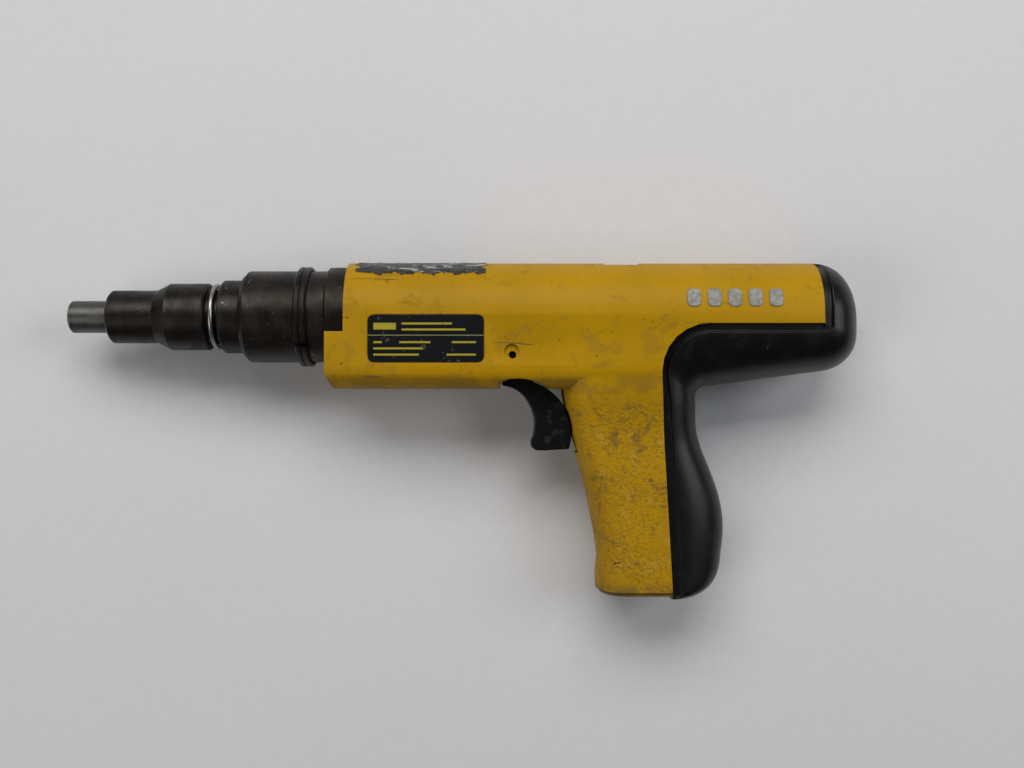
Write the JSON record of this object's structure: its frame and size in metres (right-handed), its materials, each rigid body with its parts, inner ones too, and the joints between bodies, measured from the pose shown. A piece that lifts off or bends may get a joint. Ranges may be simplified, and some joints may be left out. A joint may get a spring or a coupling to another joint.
{
  "type": "powder-actuated nail gun",
  "caption": "Semi-automatic powder-actuated fastening tool: steel nose and sliding barrel group, yellow clamshell housing with pistol grip, rubber pad, and trigger.",
  "frame": {"origin": "middle of the tool's outline as it lies on its right flank, on the surface it lies on", "axes": "+X from the muzzle towards the back along the barrel, +Y from the handle's base towards the body's top, +Z out of the left flank, which faces up"},
  "size_m": [0.3428, 0.1466, 0.0471],
  "materials": {
    "housing_shell": "moulded deep yellow, fine leather grain on the handle, worn",
    "pad_rubber": "satin black, moulded over the back",
    "black_plastic": "satin black",
    "label_film": "black printed film without text",
    "black_oxide": "turned steel, black oxide, worn at the edges",
    "bright_steel": "ground steel",
    "spring_steel": "drawn wire",
    "buffer_rubber": "matt dark brown"
  },
  "bodies": {
    "housing": {"housing_left": "housing_shell", "housing_right": "housing_shell", "handle_pad": "pad_rubber", "nameplate": "label_film", "top_label": "label_film", "receiver_tube": "black_oxide", "stop_pin": "bright_steel", "receiver_screw_left": "black_oxide", "receiver_screw_right": "black_oxide", "housing_screw_1": "black_oxide", "housing_screw_2": "black_oxide", "housing_screw_3": "black_oxide", "housing_screw_4": "black_oxide", "housing_screw_5": "black_oxide", "strip_guide": "bright_steel", "breech_block": "bright_steel", "firing_pin_guide": "bright_steel", "rear_plug": "black_oxide", "trigger_pin": "bright_steel", "trigger_spring": "spring_steel", "sear_pin": "bright_steel", "sear_spring": "spring_steel", "feed_pawl_pin": "bright_steel", "feed_pawl_spring": "spring_steel", "contact_spring": "spring_steel", "firing_pin_spring": "spring_steel"},
    "barrel_group": {"muzzle_bushing": "black_oxide", "annular_spring": "spring_steel", "barrel": "black_oxide", "chamber_plug": "bright_steel", "piston_buffer": "buffer_rubber", "buffer_washer": "bright_steel", "muffler_sleeve": "black_oxide", "collar_ring": "black_oxide"},
    "piston_group": {"piston": "bright_steel", "piston_ring": "spring_steel"},
    "trigger": {"trigger": "black_plastic"},
    "sear": {"sear": "bright_steel"},
    "firing_pin": {"firing_pin": "bright_steel"},
    "feed_pawl": {"feed_pawl": "bright_steel"}
  },
  "joints": [
    {"name": "barrel_slide", "type": "slide", "parent": "housing", "child": "barrel_group", "axis": [1, 0, 0], "range_m": [-0.06, 0.007], "deforming": ["contact_spring"]},
    {"name": "piston_slide", "type": "slide", "parent": "barrel_group", "child": "piston_group", "axis": [1, 0, 0], "range_m": [-0.0935, 0]},
    {"name": "trigger_pull", "type": "hinge", "parent": "housing", "child": "trigger", "pos_m": [0.0212, 0.02368, 0.0234], "axis": [0, 0, 1], "range_deg": [0, 8], "stiffness_Nm_per_rad": 0.5, "springref_deg": -5.73},
    {"name": "sear_rock", "type": "hinge", "parent": "housing", "child": "sear", "pos_m": [0.0798, 0.02848, 0.0234], "axis": [0, 0, 1], "range_deg": [-9, 0]},
    {"name": "firing_pin_slide", "type": "slide", "parent": "housing", "child": "firing_pin", "axis": [1, 0, 0], "range_m": [-0.004, 0.008], "stiffness_N_per_m": 300, "deforming": ["firing_pin_spring"]},
    {"name": "feed_pawl_rock", "type": "hinge", "parent": "housing", "child": "feed_pawl", "pos_m": [0.0812, -0.01473, 0.0234], "axis": [0, 0, 1], "range_deg": [-1, 8]}
  ],
  "couplings": [
    {"joint": "sear_rock", "follows": "trigger_pull", "ratio": -1.1},
    {"joint": "feed_pawl_rock", "follows": "barrel_slide", "rad_per_m": -2.3}
  ]
}
